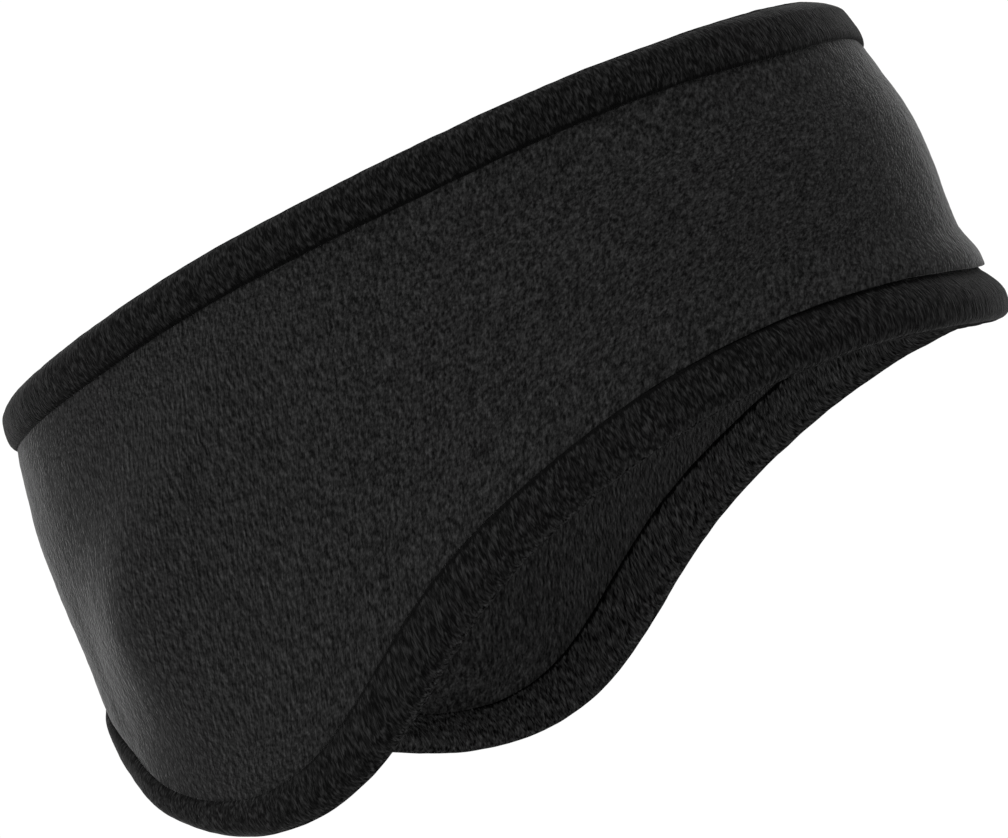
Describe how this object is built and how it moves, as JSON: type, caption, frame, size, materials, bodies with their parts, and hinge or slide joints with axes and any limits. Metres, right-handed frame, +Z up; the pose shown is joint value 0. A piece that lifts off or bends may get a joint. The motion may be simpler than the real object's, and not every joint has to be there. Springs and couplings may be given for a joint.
{
  "type": "ear warmer headband",
  "caption": "Fleece ear warmer headband: a closed loop cut deeper over both ears, with a folded binding round its top and bottom edges.",
  "frame": {"origin": "the middle of the loop at its widest place, level with the middle of the ears' height, where the band sits on a head", "axes": "+Z up along the wearer's head, -Y towards the forehead, -X towards the wearer's right ear"},
  "size_m": [0.1674, 0.2022, 0.108],
  "materials": {
    "body_fleece": "brushed pile, matt",
    "binding_fleece": "fine brushed, matt"
  },
  "bodies": {
    "root": {"band_body": "body_fleece", "top_binding": "binding_fleece", "bottom_binding": "binding_fleece"}
  },
  "joints": []
}
